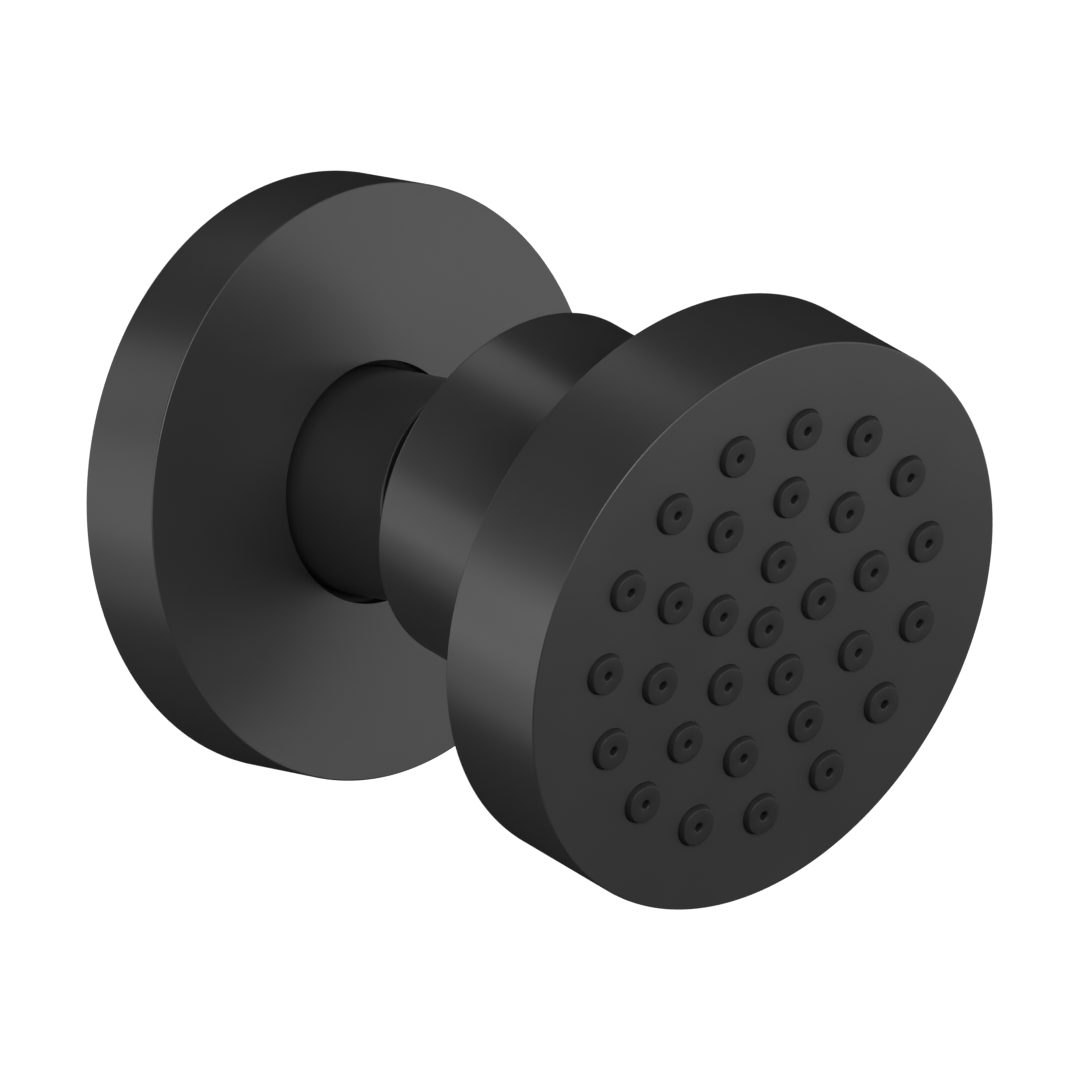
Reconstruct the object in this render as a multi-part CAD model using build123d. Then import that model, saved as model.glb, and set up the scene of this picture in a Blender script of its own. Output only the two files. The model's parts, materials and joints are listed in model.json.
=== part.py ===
from build123d import *
from math import cos, radians, sin, sqrt, tan
import os

# A round shower body jet for a wall, in millimetres. The wall is the plane Y = 0, the jet
# stands out of it towards -Y, and the inlet's mouth is at the origin. Each piece is drawn
# about its own local Z axis. On the wall side that axis leaves the wall from the origin. On
# the head it starts at the ball's centre and runs forward through the head, which hangs
# tilted down.

# Fits and clearances
running_fit = 0.05       # radial room of a shaft or ball that turns in its seat
loose_fit = 0.1          # radial room of a piece dropped into its pocket
end_play = 0.05          # axial room on each side of a piece that turns
ring_ease = 0.02         # room left around a squeezed rubber ring
tilt_room = 0.27         # room between the stem and the collar's lip at full tilt
edge_break = 0.12        # bevel on visible outer edges
neck_edge = 0.3          # bevel on the neck's front edge
collar_edge = 0.4        # bevel on the collar's rear edge

# Inlet: half-inch pipe thread, drawn at its tapping size
thread_radius = 9.5
thread_length = 11.0
thread_relief = 1.05     # depth of the run-out groove behind the thread
washer_thickness = 1.6
washer_hole_radius = 6.0
washer_room = 0.2        # radial room of the washer in the thread
screen_thickness = 0.4
screen_hole_radius = 0.5
screen_pitch = 1.6
screen_rings = 3
tail_room = 3.0          # chamber for the stud's tail behind the washer seat

# Neck
neck_radius = 11.4
journal_length = 4.9
spanner_width = 27.0     # across the flats of the hexagon at the neck's rear
spanner_length = 4.5
spanner_round = 0.4      # how far the hexagon's corners are turned down

# Wall flange
flange_radius = 30.0
flange_depth = 9.8
flange_plate = 2.4
flange_rim = 3.0
flange_gap = 0.8         # radial gap between the flange and the neck
hub_gap = 0.5            # the hub stops this far in front of the neck's hexagon
hub_wall = 2.1
grip_ring_section = 1.9
wall_seal_width = 1.0
wall_seal_depth = 1.3
wall_seal_inset = 1.0    # rim left outside the wall seal

# Ball stud
ball_reach = 16.2        # neck front to ball centre
ball_radius = 11.0
stem_radius = 5.25
journal_radius = 6.95
waterway_radius = 2.8
thrust_radius = 8.6
thrust_thickness = 1.5
thrust_room = 0.4
slip_washer_thickness = 0.5
stem_blend = 0.8
stud_ring_section = 1.2
groove_room = 0.25       # room beside a rubber ring in its groove
tail_length = 1.7        # stud beyond the neck's inner wall
clip_thickness = 0.9
clip_depth = 0.85        # how deep the clip sits in the stud
clip_radius = 8.0
clip_gap_angle = 50.0
clip_hole_radius = 0.45
clip_hole_angle = 10.0   # from the clip's end to its plier hole
clip_wall_room = 0.2     # radial room around the clip
hex_socket_width = 6.0
hex_socket_depth = 5.0
hex_margin = 0.4

# Flow regulator
regulator_radius = 4.45
regulator_length = 3.3
regulator_wall = 0.75
regulator_floor = 1.0
regulator_core_radius = 1.4
regulator_ring_section = 1.2
regulator_hole_radius = 0.5
regulator_hole_count = 6

# Ball socket
head_tilt = 15.0         # how far the head points down
tilt_limit = 20.0        # the most it tilts from the neck's axis
seat_angle = 54.5        # from the ball's rear pole to the seat's rear edge
seat_wall = 2.85
lip_thickness = 2.5
lip_relief = 0.3
seal_front_angle = 40.0  # from the ball's front pole to the seal's front edge
seal_rear_angle = 71.0
seal_wall = 0.8
backing_thickness = 0.8
spigot_wall = 2.6
spigot_start = 0.2       # the spigot begins this far behind the seal
collar_wall = 3.95

# Head
ball_to_head = 14.75     # ball centre to the head's back
head_radius = 30.0
head_wall = 2.4
ledge_width = 1.0
back_thickness = 3.8
nose_length = 2.8
nose_wall = 1.3
back_floor = 2.6
back_ring_section = 1.2
ball_room = 0.5          # room round the ball's front in the spigot's floor
pin_hole_radius = 1.5
pin_hole_depth = 1.6
pin_hole_spread = 46.0   # distance between the two pin-spanner holes
face_thickness = 2.4

# Nozzles, mat and plate
nozzle_margin = 9.0      # head edge to the outer ring of nozzles
nozzle_rings = {5: 0.329, 10: 0.657, 15: 1.0}  # count: share of the outer ring's radius
nozzle_root_radius = 2.15
nozzle_tip_radius = 1.9
nozzle_height = 0.65
nozzle_bevel = 0.2
nozzle_pinhole_radius = 0.45
nozzle_pinhole_length = 1.2
nozzle_bore_radius = 1.1
mat_thickness = 1.4
mat_room = 0.5
plate_thickness = 2.5
plate_hole_radius = 1.3
screw_count = 5
screw_turn = 15.0        # angle from a top nozzle to the first screw
screw_radius = 0.95
screw_head_radius = 1.8
screw_head_height = 1.2
screw_slot_length = 2.5
screw_slot_width = 0.5
screw_slot_depth = 0.7
boss_radius = 1.9
boss_height = 2.4
screw_depth = 0.95       # how far the screws enter the face's own thickness
screw_hole_end = 0.2     # hole left beyond the screw's point

# Places along the wall side's axis, measured from the wall
washer_seat = thread_length + washer_thickness + screen_thickness
clip_wall = washer_seat + tail_room
counterbore_floor = clip_wall + journal_length
thrust_back = counterbore_floor + slip_washer_thickness + 2 * end_play
neck_front = thrust_back + thrust_thickness
ball_centre = neck_front + ball_reach
stud_tail = clip_wall - tail_length
hub_back = spanner_length + hub_gap
flange_bore = neck_radius + flange_gap
grip_groove = neck_radius + grip_ring_section + ring_ease
journal_bore = journal_radius + running_fit
clip_chamber = clip_radius + clip_wall_room
clip_front = clip_wall - 2 * end_play
clip_groove = journal_radius - clip_depth

# Places along the head's axis, measured from the ball's centre
seat_back = -ball_radius * cos(radians(seat_angle))
lip_front = seat_back - end_play
collar_back = lip_front - lip_thickness
seal_back = ball_radius * cos(radians(seal_rear_angle))
seal_front = ball_radius * cos(radians(seal_front_angle))
backing_front = seal_front + backing_thickness
spigot_back = seal_back - spigot_start
head_back_face = ball_to_head
ledge = head_back_face + back_thickness
nose_front = ledge + nose_length
plate_front = nose_front + plate_thickness
face_back = plate_front + mat_thickness
face_front = face_back + face_thickness
nozzle_tip = face_front + nozzle_height

# Radii on the head's side
seat_radius = ball_radius + running_fit + seat_wall
collar_cavity = seat_radius + running_fit
seal_radius = ball_radius + seal_wall
backing_bore = ball_radius * sin(radians(seal_front_angle)) + lip_relief
outlet_radius = sqrt(ball_radius**2 - backing_front**2) + ball_room
pocket_radius = seal_radius + loose_fit
spigot_radius = pocket_radius + spigot_wall
collar_thread = spigot_radius + running_fit
collar_radius = collar_thread + collar_wall
lip_opening = (
    -collar_back * tan(radians(tilt_limit)) + stem_radius / cos(radians(tilt_limit)) + tilt_room
)
head_thread = head_radius - head_wall
head_bore = head_thread - ledge_width
nose_radius = head_bore - loose_fit
back_groove = head_bore - back_ring_section - ring_ease
chamber_radius = back_groove - nose_wall
mat_radius = head_bore - mat_room
outer_ring = head_radius - nozzle_margin
ring_shares = sorted(nozzle_rings.values())
screw_ring = outer_ring * (ring_shares[-1] + ring_shares[-2]) / 2
nozzle_hole_radius = nozzle_root_radius + running_fit
screw_hole_radius = screw_radius + running_fit
boss_hole_radius = boss_radius + loose_fit
boss_back = face_back - boss_height
screw_tip = face_back + screw_depth

wall_frame = Plane(origin=(0, 0, 0), x_dir=(1, 0, 0), z_dir=(0, -1, 0)).location
head_frame = Plane(
    origin=(0, -ball_centre, 0),
    x_dir=(1, 0, 0),
    z_dir=(0, -cos(radians(head_tilt)), -sin(radians(head_tilt))),
).location


def turned(*outline):
    """A solid turned about Z from a closed outline of (radius, height) points."""
    return revolve(make_face(Plane.XZ * Polyline(*outline, close=True)), Axis.Z)


def rod(radius, low, high):
    """A plain round bar along Z."""
    return turned((0, low), (radius, low), (radius, high), (0, high))


def tube(inner, outer, low, high):
    """A plain ring or pipe along Z."""
    return turned((inner, low), (outer, low), (outer, high), (inner, high))


def rubber_ring(inner, section, height):
    """A rubber ring of round section, its inside at the radius given."""
    return Pos(0, 0, height) * Torus(inner + section / 2, section / 2)


def around(radius, count, start=90.0):
    """Places evenly spread on a circle, the first at the top."""
    return PolarLocations(radius, count, start_angle=start)


def nozzle_places():
    """The nozzles' places: one in the middle and a ring for each entry of nozzle_rings."""
    places = [Location((0, 0, 0))]
    for count, share in nozzle_rings.items():
        places += list(around(outer_ring * share, count))
    return places


def screw_places():
    """The mat plate's screws, between the two outer rings of nozzles."""
    return list(around(screw_ring, screw_count, 90.0 + screw_turn))


def copies(piece, places):
    """The same piece at each place."""
    return [place * piece for place in places]


def neck():
    """Brass tube with the pipe thread and a hexagon behind and the stud's bearing in front."""
    counterbore = thrust_radius + thrust_room
    body = turned(
        (thread_radius, 0),
        (neck_radius, 0),
        (neck_radius, neck_front - neck_edge),
        (neck_radius - neck_edge, neck_front),
        (counterbore, neck_front),
        (counterbore, counterbore_floor),
        (journal_bore, counterbore_floor),
        (journal_bore, clip_wall),
        (clip_chamber, clip_wall),
        (clip_chamber, washer_seat),
        (thread_radius + thread_relief, washer_seat),
        (thread_radius + thread_relief, thread_length),
        (thread_radius, thread_length),
    )
    hexagon = extrude(RegularPolygon(spanner_width / 2, 6, major_radius=False), spanner_length)
    corner = spanner_width / sqrt(3) - spanner_round
    return body + (hexagon & tube(thread_radius, corner, 0, spanner_length))


def inlet_washer():
    """Rubber washer that the supply pipe's end presses on."""
    front = washer_seat - screen_thickness
    return tube(washer_hole_radius, thread_radius - washer_room, front - washer_thickness, front)


def filter_screen():
    """Punched steel disc between the washer and its seat."""
    back = washer_seat - screen_thickness
    disc = rod(thread_radius - washer_room, back, washer_seat)
    hole = rod(screen_hole_radius, back, washer_seat)
    holes = [hole]
    for ring in range(1, screen_rings + 1):
        holes += copies(hole, around(screen_pitch * ring, 6 * ring))
    return disc - holes


def wall_flange():
    """Hollow round cover plate with a hub that slides on the neck."""
    rim_bore = flange_radius - flange_rim
    plate_back = flange_depth - flange_plate
    hub_radius = grip_groove + hub_wall
    body = turned(
        (rim_bore, 0),
        (flange_radius - edge_break, 0),
        (flange_radius, edge_break),
        (flange_radius, flange_depth - edge_break),
        (flange_radius - edge_break, flange_depth),
        (flange_bore, flange_depth),
        (flange_bore, hub_back),
        (hub_radius, hub_back),
        (hub_radius, plate_back),
        (rim_bore, plate_back),
    )
    half_groove = grip_ring_section / 2 + groove_room
    middle = (hub_back + flange_depth) / 2
    ring_groove = tube(flange_bore, grip_groove, middle - half_groove, middle + half_groove)
    seal_outer = flange_radius - wall_seal_inset
    seal_inner = seal_outer - wall_seal_width
    seal_groove = tube(seal_inner - loose_fit, seal_outer + loose_fit, 0, wall_seal_depth)
    return body - ring_groove - seal_groove


def flange_grip_ring():
    """Rubber ring in the hub that holds the flange where it is put."""
    return rubber_ring(neck_radius, grip_ring_section, (hub_back + flange_depth) / 2)


def wall_seal():
    """Foam ring set in the flange's rear edge."""
    outer = flange_radius - wall_seal_inset
    return tube(outer - wall_seal_width, outer, 0, wall_seal_depth)


def ball_stud():
    """Hollow ball on a stem that turns in the neck."""
    regulator_bore = regulator_radius + running_fit
    regulator_step = stud_tail + regulator_length + 2 * end_play
    shaft = turned(
        (waterway_radius, regulator_step),
        (regulator_bore, regulator_step),
        (regulator_bore, stud_tail),
        (journal_radius - edge_break, stud_tail),
        (journal_radius, stud_tail + edge_break),
        (journal_radius, clip_front - clip_thickness - end_play),
        (clip_groove, clip_front - clip_thickness - end_play),
        (clip_groove, clip_front + end_play),
        (journal_radius, clip_front + end_play),
        (journal_radius, thrust_back),
        (thrust_radius, thrust_back),
        (thrust_radius, neck_front),
        (stem_radius + stem_blend, neck_front),
        (stem_radius, neck_front + stem_blend),
        (stem_radius, ball_centre),
        (waterway_radius, ball_centre),
    )
    half_groove = stud_ring_section / 2 + groove_room
    middle = (clip_wall + counterbore_floor) / 2
    groove_radius = journal_bore - stud_ring_section - ring_ease
    ring_groove = tube(groove_radius, journal_bore, middle - half_groove, middle + half_groove)
    flat_radius = hex_socket_width / sqrt(3) + hex_margin
    ball_front = sqrt(ball_radius**2 - flat_radius**2)
    ball = Sphere(ball_radius) - rod(waterway_radius, -ball_radius, ball_radius)
    socket = extrude(RegularPolygon(hex_socket_width / 2, 6, major_radius=False), hex_socket_depth)
    ball -= Pos(0, 0, ball_front - hex_socket_depth) * socket
    ball -= rod(ball_radius, ball_front, ball_radius + 1)
    return shaft - ring_groove + Pos(0, 0, ball_centre) * ball


def stud_slip_washer():
    """Plastic washer that the stud's shoulder turns on."""
    back = counterbore_floor + end_play
    return tube(journal_bore, thrust_radius, back, back + slip_washer_thickness)


def stud_ring():
    """Rubber ring that seals the stud in the neck."""
    inner = journal_bore - ring_ease / 2 - stud_ring_section
    return rubber_ring(inner, stud_ring_section, (clip_wall + counterbore_floor) / 2)


def retaining_clip():
    """Open spring clip that keeps the stud in the neck."""
    ring = tube(clip_groove, clip_radius, clip_front - clip_thickness, clip_front)
    reach = 2 * clip_radius
    half = radians(clip_gap_angle / 2)
    wedge = make_face(
        Polyline((0, 0), (-reach * sin(half), -reach * cos(half)),
                 (reach * sin(half), -reach * cos(half)), close=True)
    )
    gap = Pos(0, 0, clip_front - clip_thickness) * extrude(wedge, clip_thickness)
    clip = ring - gap
    hole = rod(clip_hole_radius, clip_front - clip_thickness, clip_front)
    hole_ring = (clip_groove + clip_radius) / 2
    for side in (-1, 1):
        angle = -90 + side * (clip_gap_angle / 2 + clip_hole_angle)
        clip -= Rot(0, 0, angle) * Pos(hole_ring, 0, 0) * hole
    return clip


def flow_regulator():
    """Small cup with a core, set in the stud's tail."""
    back = stud_tail + end_play
    front = back + regulator_length
    floor_back = front - regulator_floor
    cup = turned(
        (0, front),
        (regulator_radius, front),
        (regulator_radius, back),
        (regulator_radius - regulator_wall, back),
        (regulator_radius - regulator_wall, floor_back),
        (regulator_core_radius, floor_back),
        (regulator_core_radius, back + edge_break),
        (0, back + edge_break),
    )
    hole_ring = (waterway_radius + regulator_core_radius) / 2
    hole = rod(regulator_hole_radius, floor_back, front)
    return cup - copies(hole, around(hole_ring, regulator_hole_count))


def regulator_ring():
    """Rubber ring round the regulator's core, which chokes the flow."""
    floor_back = stud_tail + end_play + regulator_length - regulator_floor
    height = floor_back - regulator_ring_section / 2 - ring_ease
    return rubber_ring(regulator_core_radius + ring_ease, regulator_ring_section, height)


def ball_seat():
    """Plastic ring that the ball's back bears on."""
    ring = tube(ball_radius / 2, seat_radius, seat_back, 0)
    return ring - Sphere(ball_radius + running_fit)


def collar_nut():
    """Round nut over the ball, screwed onto the head's spigot."""
    body = turned(
        (lip_opening, collar_back),
        (collar_radius - collar_edge, collar_back),
        (collar_radius, collar_back + collar_edge),
        (collar_radius, head_back_face),
        (collar_thread, head_back_face),
        (collar_thread, spigot_back - spigot_start),
        (collar_cavity, spigot_back - spigot_start),
        (collar_cavity, lip_front),
        (lip_opening, lip_front),
    )
    return body - Sphere(ball_radius + lip_relief)


def ball_seal():
    """Rubber cup ring that seals on the ball's front."""
    ring = tube(ball_radius / 2, seal_radius, seal_back, seal_front)
    return ring - Sphere(ball_radius + running_fit)


def seal_backing():
    """Steel washer behind the ball seal."""
    return tube(backing_bore, seal_radius, seal_front, backing_front)


def head_back():
    """The head's back, with the hollow spigot that holds the ball seal."""
    chamber_floor = head_back_face + back_floor
    body = turned(
        (outlet_radius, backing_front),
        (pocket_radius, backing_front),
        (pocket_radius, spigot_back),
        (spigot_radius, spigot_back),
        (spigot_radius, head_back_face),
        (head_thread - running_fit, head_back_face),
        (head_thread - running_fit, ledge),
        (nose_radius, ledge),
        (nose_radius, nose_front),
        (chamber_radius, nose_front),
        (chamber_radius, chamber_floor),
        (outlet_radius, chamber_floor),
    )
    half_groove = back_ring_section / 2 + groove_room
    middle = (ledge + nose_front) / 2
    groove = tube(back_groove, head_bore, middle - half_groove, middle + half_groove)
    pin_hole = rod(pin_hole_radius, head_back_face, head_back_face + pin_hole_depth)
    return body - groove - copies(pin_hole, around(pin_hole_spread / 2, 2, 0.0))


def head_back_ring():
    """Rubber ring between the head's back and its shell."""
    inner = head_bore - ring_ease / 2 - back_ring_section
    return rubber_ring(inner, back_ring_section, (ledge + nose_front) / 2)


def head_shell():
    """Front cup of the head: its face and rim in one piece."""
    body = turned(
        (0, face_back),
        (head_bore, face_back),
        (head_bore, ledge),
        (head_thread, ledge),
        (head_thread, head_back_face),
        (head_radius - edge_break, head_back_face),
        (head_radius, head_back_face + edge_break),
        (head_radius, face_front - edge_break),
        (head_radius - edge_break, face_front),
        (0, face_front),
    )
    body += copies(rod(boss_radius, boss_back, face_back), screw_places())
    screw_hole = rod(screw_hole_radius, boss_back, screw_tip + screw_hole_end)
    body -= copies(rod(nozzle_hole_radius, face_back, face_front), nozzle_places())
    return body - copies(screw_hole, screw_places())


def nozzle():
    """One soft nozzle: a wide bore behind a pinhole, standing out of the face."""
    pinhole_back = nozzle_tip - nozzle_pinhole_length
    return turned(
        (nozzle_bore_radius, plate_front),
        (nozzle_root_radius, plate_front),
        (nozzle_root_radius, face_front),
        (nozzle_tip_radius, nozzle_tip - nozzle_bevel),
        (nozzle_tip_radius - nozzle_bevel, nozzle_tip),
        (nozzle_pinhole_radius, nozzle_tip),
        (nozzle_pinhole_radius, pinhole_back),
        (nozzle_bore_radius, pinhole_back - nozzle_bore_radius),
    )


def nozzle_mat():
    """Silicone sheet with all the nozzles moulded on it."""
    sheet = rod(mat_radius, plate_front, face_back)
    sheet -= copies(rod(nozzle_root_radius, plate_front, face_back), nozzle_places())
    sheet -= copies(rod(boss_hole_radius, plate_front, face_back), screw_places())
    return sheet + copies(nozzle(), nozzle_places())


def mat_plate():
    """Perforated plate that presses the mat against the face."""
    disc = rod(mat_radius, nose_front, plate_front)
    disc -= copies(rod(plate_hole_radius, nose_front, plate_front), nozzle_places())
    disc -= copies(rod(boss_hole_radius, boss_back, plate_front), screw_places())
    return disc - copies(rod(screw_hole_radius, nose_front, boss_back), screw_places())


def plate_screw():
    """Pan-head screw with a cross slot."""
    top = nose_front - screw_head_height
    screw = rod(screw_head_radius, top, nose_front) + rod(screw_radius, nose_front, screw_tip)
    slot = Pos(0, 0, top) * Box(screw_slot_length, screw_slot_width, 2 * screw_slot_depth)
    return screw - slot - Rot(0, 0, 90) * slot


def plate_screws():
    """The screws that hold the mat plate to the face."""
    return Compound(copies(plate_screw(), screw_places()))


wall_side = (
    neck, inlet_washer, filter_screen, wall_flange, flange_grip_ring, wall_seal, ball_stud,
    stud_slip_washer, stud_ring, retaining_clip, flow_regulator, regulator_ring,
)
head_side = (
    ball_seat, collar_nut, ball_seal, seal_backing, head_back, head_back_ring, head_shell,
    nozzle_mat, mat_plate, plate_screws,
)

os.makedirs("parts", exist_ok=True)
for frame, makers in ((wall_frame, wall_side), (head_frame, head_side)):
    for make in makers:
        export_step(frame * make(), f"parts/{make.__name__}.step")
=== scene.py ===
import json
from math import atan2, cos, pi, radians, sin, sqrt

import bmesh
import bpy
from mathutils import Matrix, Vector


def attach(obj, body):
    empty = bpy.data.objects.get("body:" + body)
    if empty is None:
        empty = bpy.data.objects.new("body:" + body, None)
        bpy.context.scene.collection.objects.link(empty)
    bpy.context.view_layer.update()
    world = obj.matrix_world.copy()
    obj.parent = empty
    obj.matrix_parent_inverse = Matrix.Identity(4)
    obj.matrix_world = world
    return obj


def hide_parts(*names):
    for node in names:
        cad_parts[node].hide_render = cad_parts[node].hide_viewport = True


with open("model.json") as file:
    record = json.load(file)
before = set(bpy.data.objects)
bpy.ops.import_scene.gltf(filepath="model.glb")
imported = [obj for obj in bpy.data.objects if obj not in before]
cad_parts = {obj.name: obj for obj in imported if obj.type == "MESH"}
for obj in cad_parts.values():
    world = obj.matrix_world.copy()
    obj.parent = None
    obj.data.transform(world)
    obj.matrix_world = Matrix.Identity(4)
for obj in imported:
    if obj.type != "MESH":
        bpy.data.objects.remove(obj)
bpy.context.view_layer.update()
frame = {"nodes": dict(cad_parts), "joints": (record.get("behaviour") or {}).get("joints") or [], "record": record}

# The looks of a round shower body jet. Lengths are millimetres until a mesh is made. Each
# piece is drawn about its own local Z: on the wall side that axis leaves the wall, and on the
# head it starts at the ball's centre and runs forward through the head.

MM = 0.001

# Steps round turned pieces and along curves, and the angle from which an edge stays crisp
LARGE = 288
MEDIUM = 160
SMALL = 56
NOZZLE_ROUND = 64
HEXAGON_ROUND = 144
RING_STEPS = 24
BALL_STEPS = 80
ARC_STEPS = 5
SHARP_ANGLE = 33.0
ON_AXIS = 1e-6

# Edge rounding
EDGE = 0.15
FINE = 0.1
HAIR = 0.05
INNER = 0.4

# How far cutting tools and joined bodies reach past a face, and into one
PAST = 1
INTO = 0.3

# Wall side, measured from the wall
THREAD_CREST = 9.5
THREAD_DEPTH = 0.98
THREAD_PITCH = 1.814
THREAD_LENGTH = 11.0
THREAD_STEP = 0.16
THREAD_RELIEF = 10.55
WASHER_BACK = 11.0
WASHER_FRONT = 12.6
WASHER_HOLE = 6.0
WASHER_RADIUS = 9.3
WASHER_SEAT = 13.0
WASHER_EDGE = 0.2
CLIP_WALL = 16.0
CLIP_CHAMBER = 8.2
JOURNAL_BORE = 7.0
COUNTERBORE = 9.0
COUNTERBORE_FLOOR = 20.9
NECK_RADIUS = 11.4
NECK_FRONT = 23.0
NECK_EDGE = 0.3
SPANNER_WIDTH = 27.0
SPANNER_LENGTH = 4.5
SPANNER_CORNER = 15.19
FLANGE_RADIUS = 30.0
FLANGE_DEPTH = 9.8
FLANGE_PLATE = 7.4
FLANGE_RIM_BORE = 27.0
FLANGE_BORE = 12.2
HUB_BACK = 5.0
HUB_RADIUS = 15.42
GRIP_MIDDLE = 7.4
GRIP_SECTION = 1.9
GRIP_GROOVE = 13.32
GRIP_GROOVE_WIDTH = 2.4
SEAL_INNER = 28.0
SEAL_OUTER = 29.0
SEAL_DEPTH = 1.3
SEAL_ROOM = 0.1
SEAL_EDGE = 0.25

# Ball stud, measured from the wall
STUD_TAIL = 14.3
REGULATOR_BORE = 4.5
REGULATOR_STEP = 17.7
WATERWAY = 2.8
JOURNAL = 6.95
JOURNAL_EDGE = 0.3
CLIP_GROOVE = 6.1
CLIP_BACK = 14.95
CLIP_FRONT = 15.95
STUD_GROOVE = 5.78
STUD_RING_MIDDLE = 18.45
THRUST_BACK = 21.5
THRUST_RADIUS = 8.6
STEM_RADIUS = 5.25
STEM_BLEND = 0.8
BALL_RADIUS = 11.0
BALL_CENTRE = 39.2
SOCKET_WIDTH = 6.0
SOCKET_DEPTH = 5.0
SOCKET_MARGIN = 0.4

# Rubber rings of round section
RING_SECTION = 1.2
RING_EASE = 0.02
GROOVE_WIDTH = 1.7

# Head, measured from the ball's centre
COLLAR_BACK = -8.94
COLLAR_RADIUS = 18.5
COLLAR_EDGE = 0.4
LIP_OPENING = 9.11
LIP_FRONT = -6.44
LIP_RELIEF = 11.3
COLLAR_CAVITY = 13.95
COLLAR_THREAD = 14.55
COLLAR_STEP = 3.18
HEAD_BACK = 14.75
HEAD_RADIUS = 30.0
HEAD_THREAD = 27.6
HEAD_BORE = 26.6
LEDGE = 18.55
FACE_BACK = 25.25
FACE_FRONT = 27.65
DISC_RADIUS = 27.55
SPIGOT_BACK = 3.38
SPIGOT_RADIUS = 14.5
POCKET_RADIUS = 11.9
POCKET_FLOOR = 9.23
OUTLET_RADIUS = 6.49
CHAMBER_FLOOR = 17.35
CHAMBER_RADIUS = 24.08
NOSE_RADIUS = 26.5
NOSE_FRONT = 21.35
BACK_GROOVE = 25.38
PIN_HOLE_RADIUS = 1.5
PIN_HOLE_DEPTH = 1.6
PIN_HOLE_RING = 23.0

# Nozzles, measured from the ball's centre
OUTER_RING = 21.0
NOZZLE_RINGS = {5: 0.329, 10: 0.657, 15: 1.0}
NOZZLE_HOLE = 2.2
NOZZLE_ROOT = 2.15
NOZZLE_TIP_RADIUS = 1.95
NOZZLE_TIP = 28.3
NOZZLE_EDGE = 0.12
PINHOLE_RADIUS = 0.45
PINHOLE_EDGE = 0.14
PINHOLE_LENGTH = 1.2
NOZZLE_BORE = 1.1
MAT_RADIUS = 26.1
MAT_BACK = 23.85
SCREW_RING = 17.4
SCREW_COUNT = 5
SCREW_TURN = 15.0
BOSS_RADIUS = 1.9
BOSS_HOLE = 2.0
BOSS_BACK = 22.85
SCREW_HOLE = 1.0
SCREW_HOLE_END = 26.4

# The photograph's camera
VIEW_AZIMUTH = -42.8064
VIEW_ELEVATION = 10.1161
VIEW_DISTANCE = 2260.43
PICTURE_SIDE = 1080
PIXELS_PER_MM = 10.0377
ORIGIN_PIXEL = (310.79, 469.36)
SENSOR = 36.0


def place_along(origin, axis):
    """The local frame whose Z is the axis and whose X points right, seen from the shower."""
    right = Vector((1, 0, 0))
    turn = Matrix((right, axis.cross(right), axis)).transposed().to_4x4()
    return Matrix.Translation(origin) @ turn


bodies = frame["record"]["behaviour"]["bodies"]
slots = {part["node"]: part["material_slot"] for part in frame["record"]["subparts"]}
joints = {joint["name"]: joint for joint in frame["joints"]}
wall_place = place_along(Vector((0, 0, 0)), Vector((0, -1, 0)))
head_place = place_along(
    Vector(joints["head_tilt"]["pos_m"]), Vector(joints["head_spin"]["axis"]).normalized()
)


def rounded(outline):
    """An outline of (radius, height) points, each (radius, height, rounding) corner made an arc."""
    points = []
    corners = [Vector(point[:2]) for point in outline]
    for at, point in enumerate(outline):
        corner = corners[at]
        if len(point) == 2:
            points.append(corner)
            continue
        size = point[2]
        before = (corners[at - 1] - corner).normalized()
        after = (corners[(at + 1) % len(corners)] - corner).normalized()
        half = before.angle(after) / 2
        inward = (before + after).normalized()
        across = (after - before).normalized()
        centre = corner + inward * (size / sin(half))
        for step in range(ARC_STEPS + 1):
            angle = (pi / 2 - half) * (2 * step / ARC_STEPS - 1)
            points.append(centre + (across * sin(angle) - inward * cos(angle)) * size)
    return points


def circle_outline(radius, height, section):
    """The outline of a ring of round section about its middle."""
    angles = [2 * pi * at / RING_STEPS for at in range(RING_STEPS)]
    half = section / 2
    return [(radius + half * cos(angle), height + half * sin(angle)) for angle in angles]


def bar(radius, low, high):
    """The outline of a plain round bar."""
    return [(0, low), (radius, low), (radius, high), (0, high)]


def spread(radius, count, start=90.0):
    """Centres evenly spread on a circle, the first at the top."""
    angles = [radians(start + 360 * at / count) for at in range(count)]
    return [Vector((radius * cos(angle), radius * sin(angle), 0)) for angle in angles]


def nozzle_places():
    """The nozzles' centres: one in the middle and three rings."""
    places = [Vector((0, 0, 0))]
    for count, share in NOZZLE_RINGS.items():
        places += spread(OUTER_RING * share, count)
    return places


def screw_places():
    """The centres of the screws that hold the mat's plate."""
    return spread(SCREW_RING, SCREW_COUNT, 90.0 + SCREW_TURN)


def add_turned(mesh, outline, segments, centre=Vector((0, 0, 0)), groove=None):
    """Adds a closed outline turned about Z to a bmesh. groove moves its points outwards."""
    rings = []
    for radius, height in outline:
        count = segments if radius > ON_AXIS else 1
        ring = []
        for at in range(count):
            angle = 2 * pi * at / segments
            reach = radius + (groove(radius, height, angle) if groove else 0)
            point = Vector((reach * cos(angle), reach * sin(angle), height))
            ring.append(mesh.verts.new(centre + point))
        rings.append(ring)
    for here, there in zip(rings, rings[1:] + rings[:1]):
        for at in range(segments):
            after = at + 1
            corners = [here[at % len(here)], here[after % len(here)]]
            corners += [there[after % len(there)], there[at % len(there)]]
            corners = list(dict.fromkeys(corners))
            if len(corners) > 2:
                mesh.faces.new(corners)


def new_object(mesh, name, place):
    """An object of a bmesh, turned into metres and the row's frame."""
    bmesh.ops.recalc_face_normals(mesh, faces=mesh.faces)
    data = bpy.data.meshes.new(name)
    mesh.to_mesh(data)
    mesh.free()
    data.transform(place @ Matrix.Scale(MM, 4))
    piece = bpy.data.objects.new(name, data)
    bpy.context.scene.collection.objects.link(piece)
    return piece


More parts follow.
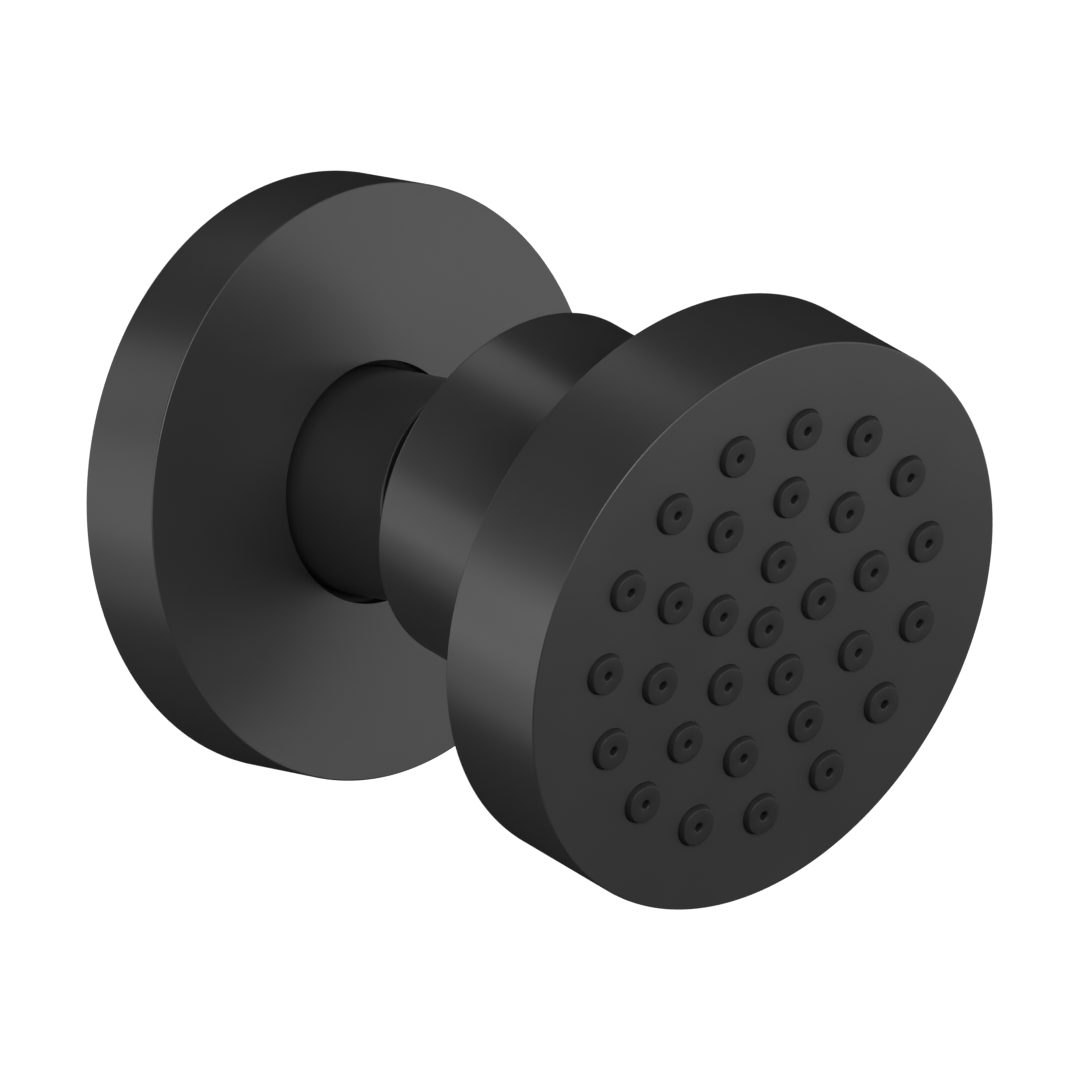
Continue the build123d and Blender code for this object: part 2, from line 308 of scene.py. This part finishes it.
def turned(name, outline, place, segments=MEDIUM, groove=None):
    """A turned piece from one closed outline."""
    mesh = bmesh.new()
    add_turned(mesh, rounded(outline), segments, groove=groove)
    return new_object(mesh, name, place)


def combined(piece, tool_mesh, place, operation="DIFFERENCE"):
    """Cuts a bmesh tool out of a piece, or joins it on, and keeps the result as its mesh."""
    tool = new_object(tool_mesh, "tool", place)
    boolean = piece.modifiers.new("boolean", "BOOLEAN")
    boolean.operation = operation
    boolean.solver = "EXACT"
    boolean.object = tool
    graph = bpy.context.evaluated_depsgraph_get()
    result = bpy.data.meshes.new_from_object(piece.evaluated_get(graph))
    piece.modifiers.clear()
    piece.data = result
    result.name = piece.name
    bpy.data.objects.remove(tool)


def turned_tools(*tools, segments=SMALL):
    """A bmesh of turned tools, each (outline, centres)."""
    mesh = bmesh.new()
    for outline, centres in tools:
        for centre in centres:
            add_turned(mesh, outline, segments, centre)
    return mesh


def smooth(piece):
    """Shades curves smooth, flats flat and edges crisp."""
    piece.data.shade_smooth()
    piece.data.set_sharp_from_angle(angle=radians(SHARP_ANGLE))
    weighted = piece.modifiers.new("even_flats", "WEIGHTED_NORMAL")
    weighted.keep_sharp = True


def stand_for(piece, node, material):
    """Gives a finished piece its finish and puts it in its CAD node's place and body."""
    smooth(piece)
    piece.data.materials.clear()
    piece.data.materials.append(material)
    owner = [name for name, names in bodies.items() if node in names][0]
    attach(piece, owner)
    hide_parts(node)


def thread_groove(radius, height, angle):
    """How far the pipe thread cuts into its crest at a point of the neck's bore."""
    if radius != THREAD_CREST:
        return 0
    turn = height / THREAD_PITCH - angle / (2 * pi)
    ends = min(1, height / THREAD_PITCH, (THREAD_LENGTH - height) / THREAD_PITCH)
    return THREAD_DEPTH * ends * (0.5 - 0.5 * cos(2 * pi * turn))


def hexagon_flat(radius, height, angle):
    """How far the spanner flats cut into the hexagon's turned corners."""
    if radius < NECK_RADIUS:
        return 0
    from_middle = (angle + pi / 6) % (pi / 3) - pi / 6
    flat = SPANNER_WIDTH / 2 / cos(pi / 6 - abs(from_middle))
    return min(0, flat - SPANNER_CORNER)


def ring_groove(radius, start, end, depth_radius):
    """Outline points of a square groove in a turned wall."""
    return [(radius, start), (depth_radius, start), (depth_radius, end), (radius, end)]


def neck():
    """The tube out of the wall, with its pipe thread, bearing and spanner hexagon."""
    steps = int(THREAD_LENGTH / THREAD_STEP)
    thread = [(THREAD_CREST, THREAD_LENGTH * (1 - at / steps)) for at in range(steps + 1)]
    piece = turned("neck_body", [
        (NECK_RADIUS, 0, FINE),
        (NECK_RADIUS, NECK_FRONT, NECK_EDGE),
        (COUNTERBORE, NECK_FRONT, FINE),
        (COUNTERBORE, COUNTERBORE_FLOOR),
        (JOURNAL_BORE, COUNTERBORE_FLOOR),
        (JOURNAL_BORE, CLIP_WALL),
        (CLIP_CHAMBER, CLIP_WALL),
        (CLIP_CHAMBER, WASHER_SEAT),
        (THREAD_RELIEF, WASHER_SEAT),
        (THREAD_RELIEF, THREAD_LENGTH),
        *thread,
    ], wall_place, groove=thread_groove)
    hexagon = bmesh.new()
    inside = NECK_RADIUS - INTO
    outline = rounded([
        (inside, 0), (SPANNER_CORNER, 0, EDGE),
        (SPANNER_CORNER, SPANNER_LENGTH, EDGE), (inside, SPANNER_LENGTH),
    ])
    add_turned(hexagon, outline, HEXAGON_ROUND, groove=hexagon_flat)
    combined(piece, hexagon, wall_place, "UNION")
    return piece


def wall_flange():
    """The hollow cover plate with its hub, grip groove and foam groove."""
    half = GRIP_GROOVE_WIDTH / 2
    seal_in, seal_out = SEAL_INNER - SEAL_ROOM, SEAL_OUTER + SEAL_ROOM
    return turned("flange_cover", [
        (FLANGE_RIM_BORE, 0, FINE),
        (seal_in, 0),
        (seal_in, SEAL_DEPTH),
        (seal_out, SEAL_DEPTH),
        (seal_out, 0),
        (FLANGE_RADIUS, 0, EDGE),
        (FLANGE_RADIUS, FLANGE_DEPTH, EDGE),
        (FLANGE_BORE, FLANGE_DEPTH, HAIR),
        *ring_groove(FLANGE_BORE, GRIP_MIDDLE + half, GRIP_MIDDLE - half, GRIP_GROOVE),
        (FLANGE_BORE, HUB_BACK, FINE),
        (HUB_RADIUS, HUB_BACK, FINE),
        (HUB_RADIUS, FLANGE_PLATE, INNER),
        (FLANGE_RIM_BORE, FLANGE_PLATE, INNER),
    ], wall_place, LARGE)


def ball_stud():
    """The hollow ball on its stem, with the hexagon socket that it is turned by."""
    stem_top = BALL_CENTRE - sqrt(BALL_RADIUS**2 - STEM_RADIUS**2)
    front_radius = SOCKET_WIDTH / sqrt(3) + SOCKET_MARGIN
    front = BALL_CENTRE + sqrt(BALL_RADIUS**2 - front_radius**2)
    start = atan2(stem_top - BALL_CENTRE, STEM_RADIUS)
    end = atan2(front - BALL_CENTRE, front_radius)
    angles = [start + (end - start) * at / BALL_STEPS for at in range(BALL_STEPS + 1)]
    ball = [(BALL_RADIUS * cos(a), BALL_CENTRE + BALL_RADIUS * sin(a)) for a in angles]
    half = GROOVE_WIDTH / 2
    ring = ring_groove(JOURNAL, STUD_RING_MIDDLE - half, STUD_RING_MIDDLE + half, STUD_GROOVE)
    piece = turned("ball_and_stem", [
        (WATERWAY, REGULATOR_STEP),
        (REGULATOR_BORE, REGULATOR_STEP),
        (REGULATOR_BORE, STUD_TAIL, FINE),
        (JOURNAL, STUD_TAIL, JOURNAL_EDGE),
        *ring_groove(JOURNAL, CLIP_BACK, CLIP_FRONT, CLIP_GROOVE),
        *ring,
        (JOURNAL, THRUST_BACK),
        (THRUST_RADIUS, THRUST_BACK, FINE),
        (THRUST_RADIUS, NECK_FRONT, EDGE),
        (STEM_RADIUS, NECK_FRONT, STEM_BLEND),
        *ball,
        (WATERWAY, front),
    ], wall_place)
    socket = bmesh.new()
    corner = SOCKET_WIDTH / sqrt(3)
    outline = [Vector(point) for point in bar(corner, front - SOCKET_DEPTH, front + PAST)]
    add_turned(socket, outline, 6)
    combined(piece, socket, wall_place)
    return piece


def collar_nut():
    """The round nut over the ball."""
    trim = sqrt(LIP_RELIEF**2 - LIP_OPENING**2)
    trim_radius = sqrt(LIP_RELIEF**2 - LIP_FRONT**2)
    return turned("ball_collar", [
        (LIP_OPENING, COLLAR_BACK, FINE),
        (COLLAR_RADIUS, COLLAR_BACK, COLLAR_EDGE),
        (COLLAR_RADIUS, HEAD_BACK, HAIR),
        (COLLAR_THREAD, HEAD_BACK),
        (COLLAR_THREAD, COLLAR_STEP),
        (COLLAR_CAVITY, COLLAR_STEP),
        (COLLAR_CAVITY, LIP_FRONT),
        (trim_radius, LIP_FRONT),
        (LIP_OPENING, -trim),
    ], head_place, LARGE)


def head_back():
    """The head's back disc, with its spigot and the two holes for a pin spanner."""
    middle = (LEDGE + NOSE_FRONT) / 2
    half = GROOVE_WIDTH / 2
    piece = turned("head_back_disc", [
        (OUTLET_RADIUS, POCKET_FLOOR),
        (POCKET_RADIUS, POCKET_FLOOR),
        (POCKET_RADIUS, SPIGOT_BACK, FINE),
        (SPIGOT_RADIUS, SPIGOT_BACK, FINE),
        (SPIGOT_RADIUS, HEAD_BACK),
        (DISC_RADIUS, HEAD_BACK, FINE),
        (DISC_RADIUS, LEDGE),
        (NOSE_RADIUS, LEDGE),
        *ring_groove(NOSE_RADIUS, middle - half, middle + half, BACK_GROOVE),
        (NOSE_RADIUS, NOSE_FRONT, FINE),
        (CHAMBER_RADIUS, NOSE_FRONT, FINE),
        (CHAMBER_RADIUS, CHAMBER_FLOOR, INNER),
        (OUTLET_RADIUS, CHAMBER_FLOOR),
    ], head_place, LARGE)
    floor = HEAD_BACK + PIN_HOLE_DEPTH
    mouth = PIN_HOLE_RADIUS + FINE
    hole = [
        (0, floor), (PIN_HOLE_RADIUS, floor), (PIN_HOLE_RADIUS, HEAD_BACK + FINE),
        (mouth, HEAD_BACK), (mouth, HEAD_BACK - PAST), (0, HEAD_BACK - PAST),
    ]
    combined(piece, turned_tools((hole, spread(PIN_HOLE_RING, 2, 0.0))), head_place)
    return piece


def head_shell():
    """The face and rim in one piece, drilled for the nozzles, with five screw bosses."""
    piece = turned("head_cup", [
        (0, FACE_BACK),
        (HEAD_BORE, FACE_BACK, INNER),
        (HEAD_BORE, LEDGE),
        (HEAD_THREAD, LEDGE),
        (HEAD_THREAD, HEAD_BACK, FINE),
        (HEAD_RADIUS, HEAD_BACK, EDGE),
        (HEAD_RADIUS, FACE_FRONT, EDGE),
        (0, FACE_FRONT),
    ], head_place, LARGE)
    bosses = turned_tools((bar(BOSS_RADIUS, BOSS_BACK, FACE_BACK + PAST), screw_places()))
    combined(piece, bosses, head_place, "UNION")
    nozzle_hole = bar(NOZZLE_HOLE, FACE_BACK - PAST, FACE_FRONT + PAST)
    screw_hole = bar(SCREW_HOLE, BOSS_BACK - PAST, SCREW_HOLE_END)
    holes = turned_tools((nozzle_hole, nozzle_places()), (screw_hole, screw_places()))
    combined(piece, holes, head_place)
    return piece


def nozzle_mat():
    """The soft sheet with its nozzles, each a wide bore behind a pinhole."""
    sheet = turned("nozzle_sheet", [
        (0, MAT_BACK), (MAT_RADIUS, MAT_BACK, FINE), (MAT_RADIUS, FACE_BACK, FINE), (0, FACE_BACK),
    ], head_place)
    nozzle_hole = bar(NOZZLE_ROOT, MAT_BACK - PAST, FACE_BACK + PAST)
    boss_hole = bar(BOSS_HOLE, MAT_BACK - PAST, FACE_BACK + PAST)
    holes = turned_tools((nozzle_hole, nozzle_places()), (boss_hole, screw_places()))
    combined(sheet, holes, head_place)
    pinhole_back = NOZZLE_TIP - PINHOLE_LENGTH
    nozzle = rounded([
        (NOZZLE_BORE, MAT_BACK),
        (NOZZLE_ROOT, MAT_BACK),
        (NOZZLE_ROOT, FACE_FRONT),
        (NOZZLE_TIP_RADIUS, NOZZLE_TIP, NOZZLE_EDGE),
        (PINHOLE_RADIUS, NOZZLE_TIP, PINHOLE_EDGE),
        (PINHOLE_RADIUS, pinhole_back),
        (NOZZLE_BORE, pinhole_back - NOZZLE_BORE),
    ])
    mesh = turned_tools((nozzle, nozzle_places()), segments=NOZZLE_ROUND)
    nozzles = new_object(mesh, "nozzles", head_place)
    whole = bmesh.new()
    whole.from_mesh(sheet.data)
    whole.from_mesh(nozzles.data)
    whole.to_mesh(sheet.data)
    whole.free()
    bpy.data.objects.remove(nozzles)
    return sheet


def rubber_ring(name, inner, middle, place, section=RING_SECTION):
    """A rubber ring of round section, its inside at the radius given."""
    return turned(name, circle_outline(inner + section / 2, middle, section), place)


def flange_grip_ring():
    """The rubber ring in the hub."""
    return rubber_ring("hub_grip_ring", NECK_RADIUS, GRIP_MIDDLE, wall_place, GRIP_SECTION)


def stud_ring():
    """The rubber ring that seals the stud in the neck."""
    inner = JOURNAL_BORE - RING_EASE / 2 - RING_SECTION
    return rubber_ring("stud_seal_ring", inner, STUD_RING_MIDDLE, wall_place)


def head_back_ring():
    """The rubber ring between the head's back and its cup."""
    inner = HEAD_BORE - RING_EASE / 2 - RING_SECTION
    return rubber_ring("head_seal_ring", inner, (LEDGE + NOSE_FRONT) / 2, head_place)


def inlet_washer():
    """The rubber washer on the supply pipe's end."""
    return turned("inlet_rubber_washer", [
        (WASHER_HOLE, WASHER_BACK, WASHER_EDGE),
        (WASHER_RADIUS, WASHER_BACK, WASHER_EDGE),
        (WASHER_RADIUS, WASHER_FRONT, WASHER_EDGE),
        (WASHER_HOLE, WASHER_FRONT, WASHER_EDGE),
    ], wall_place)


def wall_seal():
    """The foam ring in the flange's rear edge."""
    return turned("wall_foam_ring", [
        (SEAL_INNER, 0, SEAL_EDGE),
        (SEAL_OUTER, 0, SEAL_EDGE),
        (SEAL_OUTER, SEAL_DEPTH, FINE),
        (SEAL_INNER, SEAL_DEPTH, FINE),
    ], wall_place, LARGE)


class Value:
    """A shader socket that ordinary arithmetic works on."""

    def __init__(self, tree, socket):
        self.tree = tree
        self.socket = socket

    def math(self, operation, *terms):
        return self.tree.node("Math", {"operation": operation}, dict(enumerate(terms)))

    def __add__(self, other):
        return self.math("ADD", self, other)

    def __radd__(self, other):
        return self.math("ADD", other, self)

    def __sub__(self, other):
        return self.math("SUBTRACT", self, other)

    def __rsub__(self, other):
        return self.math("SUBTRACT", other, self)

    def __mul__(self, other):
        return self.math("MULTIPLY", self, other)

    def __rmul__(self, other):
        return self.math("MULTIPLY", other, self)


class Tree:
    """The nodes of one material or of the world."""

    def __init__(self, owner):
        owner.use_nodes = True
        self.tree = owner.node_tree
        self.tree.nodes.clear()

    def node(self, kind, settings, inputs, output=0):
        """Adds a node, sets it up, fills or links its inputs and returns one output."""
        made = self.tree.nodes.new("ShaderNode" + kind)
        for name, setting in settings.items():
            setattr(made, name, setting)
        for name, value in inputs.items():
            if isinstance(value, Value):
                self.tree.links.new(value.socket, made.inputs[name])
            else:
                made.inputs[name].default_value = value
        if not made.outputs:
            return None
        return Value(self, made.outputs[output])

    def place(self):
        """Where a point is on the object, in metres."""
        return self.node("TexCoord", {}, {}, "Object")

    def noise(self, scale, detail=2.0, roughness=0.5):
        """Soft noise about 0, with its grain size set in metres."""
        inputs = {
            "Vector": self.place(),
            "Scale": 1 / scale,
            "Detail": detail,
            "Roughness": roughness,
        }
        return self.node("TexNoise", {}, inputs, "Fac") - 0.5

    def bump(self, height, strength, distance):
        """A normal roughened by a height."""
        return self.node("Bump", {}, {"Height": height, "Strength": strength, "Distance": distance})

    def mix(self, factor, first, second):
        """A colour between two others."""
        return self.node("Mix", {"data_type": "RGBA"}, {0: factor, 6: first, 7: second}, 2)

    def surface(self, **sockets):
        """Ends a material in a Principled shader."""
        inputs = {name.replace("_", " "): value for name, value in sockets.items()}
        shader = self.node("BsdfPrincipled", {}, inputs)
        self.node("OutputMaterial", {}, {"Surface": shader})


def grey(level, blue=1.0):
    """A neutral colour."""
    return (level, level, level * blue, 1.0)


def new_material(name):
    """An empty material and its nodes."""
    material = bpy.data.materials.new(name)
    return material, Tree(material)


def matte_black_metal():
    """Satin black coating: a fine even grain with slight cloudiness."""
    material, tree = new_material("satin_black_coating")
    grain = tree.noise(0.00022, 3.0, 0.6)
    cloud = tree.noise(0.009, 3.0)
    colour = tree.mix(0.5 + cloud, grey(0.028), grey(0.034))
    tree.surface(
        Base_Color=colour,
        Roughness=0.3 + 0.03 * cloud + 0.01 * grain,
        Normal=tree.bump(grain, 0.05, 0.00002),
    )
    return material


def black_chrome():
    """Polished black plating with faint unevenness."""
    material, tree = new_material("black_plating")
    cloud = tree.noise(0.004)
    tree.surface(
        Base_Color=tree.mix(0.5 + cloud, grey(0.09, 1.05), grey(0.11, 1.05)),
        Metallic=1.0,
        Roughness=0.14 + 0.06 * cloud,
    )
    return material


def steel():
    """Stainless steel with a fine brushed finish."""
    material, tree = new_material("stainless_steel")
    grain = tree.noise(0.0003)
    tree.surface(
        Base_Color=tree.mix(0.5 + grain, grey(0.55, 0.98), grey(0.64, 0.98)),
        Metallic=1.0,
        Roughness=0.3 + 0.12 * grain,
        Normal=tree.bump(grain, 0.2, 0.00002),
    )
    return material


def black_rubber():
    """Smooth moulded rubber with a dull bloom."""
    material, tree = new_material("moulded_rubber")
    bloom = tree.noise(0.002, 3.0)
    grain = tree.noise(0.0002)
    tree.surface(
        Base_Color=tree.mix(0.5 + bloom, grey(0.016), grey(0.028)),
        Roughness=0.62 + 0.15 * bloom,
        Normal=tree.bump(grain, 0.3, 0.00003),
    )
    return material


def grey_foam():
    """Closed-cell foam with its skin cut away."""
    material, tree = new_material("closed_cell_foam")
    cell_size = 0.0004
    inputs = {"Vector": tree.place(), "Scale": 1 / cell_size}
    cells = tree.node("TexVoronoi", {}, inputs, "Distance")
    tree.surface(
        Base_Color=tree.mix(cells, grey(0.1), grey(0.2)),
        Roughness=0.92,
        Normal=tree.bump(cells, 0.6, 0.0001),
    )
    return material


def moulded(name, first, second, roughness):
    """Moulded plastic with a light grain."""
    material, tree = new_material(name)
    cloud = tree.noise(0.003)
    grain = tree.noise(0.00025)
    tree.surface(
        Base_Color=tree.mix(0.5 + cloud, first, second),
        Roughness=roughness + 0.1 * cloud,
        Normal=tree.bump(grain, 0.2, 0.00002),
    )
    return material


def white_plastic():
    """Slippery acetal."""
    return moulded("acetal", (0.76, 0.76, 0.73, 1), (0.82, 0.82, 0.79, 1), 0.4)


def green_plastic():
    """The regulator's plastic in its flow-rate colour."""
    return moulded("regulator_plastic", (0.1, 0.33, 0.18, 1), (0.14, 0.39, 0.22, 1), 0.42)


def dark_plastic():
    """The mat plate's plastic."""
    return moulded("plate_plastic", (0.045, 0.045, 0.05, 1), (0.056, 0.056, 0.062, 1), 0.45)


def black_silicone():
    """Soft dull silicone."""
    material, tree = new_material("soft_silicone")
    bloom = tree.noise(0.0012, 3.0)
    grain = tree.noise(0.00018)
    tree.surface(
        Base_Color=tree.mix(0.5 + bloom, grey(0.012), grey(0.017)),
        Roughness=0.5 + 0.1 * bloom,
        Specular_IOR_Level=0.25,
        Normal=tree.bump(grain, 0.25, 0.00002),
    )
    return material


finishes = {
    make.__name__: make()
    for make in (
        matte_black_metal, black_chrome, steel, black_rubber, grey_foam, white_plastic,
        green_plastic, dark_plastic, black_silicone,
    )
}

for make in (
    neck, wall_flange, ball_stud, collar_nut, head_back, head_shell, nozzle_mat,
    flange_grip_ring, stud_ring, head_back_ring, inlet_washer, wall_seal,
):
    stand_for(make(), make.__name__, finishes[slots[make.__name__]])

for node, piece in frame["nodes"].items():
    piece.data.materials.clear()
    piece.data.materials.append(finishes[slots[node]])

# The studio, in metres and degrees. Its floor is low, so views from below show the object.
OBJECT_MIDDLE = Vector((0, -0.035, 0))
CAMERA_REACH = 20
FLOOR_SIZE = 40.0
FLOOR_HEIGHT = -1.0
FLOOR_GLOW = 0.7
DIFFUSE_LEVEL = 0.43
DRAPE_RADIUS = 0.9
DRAPE_STEP = 5
WINDOW_SIDE = 75
WINDOW_LOW = -10
WINDOW_HIGH = 50

# Soft lamps: azimuth, elevation, distance, radius and brightness, where 1 is white
LAMPS = {
    "wide_front": (-15, 18, 0.8, 0.19, 5.4),
    "back_left_high": (210, 18, 0.8, 0.19, 1.35),
    "back_left": (222, -4, 0.8, 0.19, 1.5),
    "left": (255, 0, 0.2, 0.05, 2.5),
    "left_low": (230, -24, 0.2, 0.05, 0.95),
    "front_left": (-30, 12, 0.26, 0.062, 4.8),
    "front": (30, -12, 0.26, 0.062, 2.2),
    "front_right": (60, -12, 0.26, 0.062, 1.3),
    "top_back": (187, 60, 0.26, 0.052, 1.5),
}


def direction(azimuth, elevation):
    """The direction towards a place round the object."""
    turn, rise = radians(azimuth), radians(elevation)
    return Vector((sin(turn) * cos(rise), -cos(turn) * cos(rise), sin(rise)))


def add_camera():
    """The photograph's camera."""
    back = direction(VIEW_AZIMUTH, VIEW_ELEVATION)
    right = Vector((0, 0, 1)).cross(back).normalized()
    up = back.cross(right)
    aim_right = (PICTURE_SIDE / 2 - ORIGIN_PIXEL[0]) / PIXELS_PER_MM
    aim_up = (ORIGIN_PIXEL[1] - PICTURE_SIDE / 2) / PIXELS_PER_MM
    eye = (right * aim_right + up * aim_up + back * VIEW_DISTANCE) * MM
    data = bpy.data.cameras.new("camera")
    data.sensor_width = SENSOR
    data.lens = PIXELS_PER_MM * VIEW_DISTANCE / PICTURE_SIDE * SENSOR
    data.clip_end = CAMERA_REACH
    camera = bpy.data.objects.new("camera", data)
    turn = Matrix((right, up, back)).transposed().to_4x4()
    camera.matrix_world = Matrix.Translation(eye) @ turn
    bpy.context.scene.collection.objects.link(camera)
    bpy.context.scene.camera = camera


def background_rays(tree):
    """1 for the rays that show the white background: camera, glossy and transmission rays."""
    kinds = ("Is Camera Ray", "Is Glossy Ray", "Is Transmission Ray")
    camera, glossy, transmission = [tree.node("LightPath", {}, {}, kind) for kind in kinds]
    return camera.math("MAXIMUM", camera.math("MAXIMUM", camera, glossy), transmission)


def staged(mesh, name, height, material):
    """A piece of the studio, which isn't part of the object."""
    data = bpy.data.meshes.new(name)
    mesh.to_mesh(data)
    mesh.free()
    data.materials.append(material)
    piece = bpy.data.objects.new(name, data)
    piece.location = (0, 0, height)
    bpy.context.scene.collection.objects.link(piece)
    return piece


def pale_floor():
    """A wide pale floor, white behind the object, that takes the lamps' light and shadows."""
    material, tree = new_material("pale_floor_paint")
    tree.surface(
        Base_Color=grey(0.8),
        Roughness=0.9,
        Emission_Color=tree.mix(background_rays(tree), grey(0.0), grey(FLOOR_GLOW)),
        Emission_Strength=1.0,
    )
    mesh = bmesh.new()
    bmesh.ops.create_grid(mesh, x_segments=1, y_segments=1, size=FLOOR_SIZE / 2)
    staged(mesh, "floor", FLOOR_HEIGHT, material)


def in_window(face):
    """Whether a face of the drape lies in its open front."""
    middle = face.calc_center_median().normalized()
    beside = abs(atan2(middle.x, -middle.y)) < radians(WINDOW_SIDE)
    return beside and sin(radians(WINDOW_LOW)) < middle.z < sin(radians(WINDOW_HIGH))


def black_drape():
    """A black cloth that only reflections show, open in front, so the coat's rims stay dark."""
    material, tree = new_material("black_cloth")
    tree.surface(Base_Color=grey(0.02), Roughness=1.0)
    mesh = bmesh.new()
    bmesh.ops.create_uvsphere(
        mesh, u_segments=360 // DRAPE_STEP, v_segments=180 // DRAPE_STEP, radius=DRAPE_RADIUS
    )
    window = [face for face in mesh.faces if in_window(face)]
    bmesh.ops.delete(mesh, geom=window, context="FACES")
    drape = staged(mesh, "black_drape", 0, material)
    drape.visible_camera = False
    drape.visible_diffuse = False
    drape.visible_shadow = False


def studio_world():
    """White wherever the background shows, and a plain dim level for soft light."""
    world = bpy.data.worlds.new("studio")
    bpy.context.scene.world = world
    tree = Tree(world)
    strength = DIFFUSE_LEVEL + background_rays(tree) * (1 - DIFFUSE_LEVEL)
    background = tree.node("Background", {}, {"Color": grey(1.0), "Strength": strength})
    tree.node("OutputWorld", {}, {"Surface": background})


def soft_lamp(name, azimuth, elevation, distance, radius, level):
    """A round soft lamp aimed at the object, which the camera doesn't see."""
    data = bpy.data.lights.new(name, "AREA")
    data.shape = "DISK"
    data.size = 2 * radius
    data.energy = level * pi * (pi * radius**2)
    lamp = bpy.data.objects.new(name, data)
    towards = direction(azimuth, elevation)
    turn = towards.to_track_quat("Z", "Y").to_matrix().to_4x4()
    lamp.matrix_world = Matrix.Translation(OBJECT_MIDDLE + towards * distance) @ turn
    lamp.visible_camera = False
    bpy.context.scene.collection.objects.link(lamp)


add_camera()
pale_floor()
black_drape()
studio_world()
for name, settings in LAMPS.items():
    soft_lamp(name, *settings)

bpy.context.scene.view_settings.view_transform = "Standard"
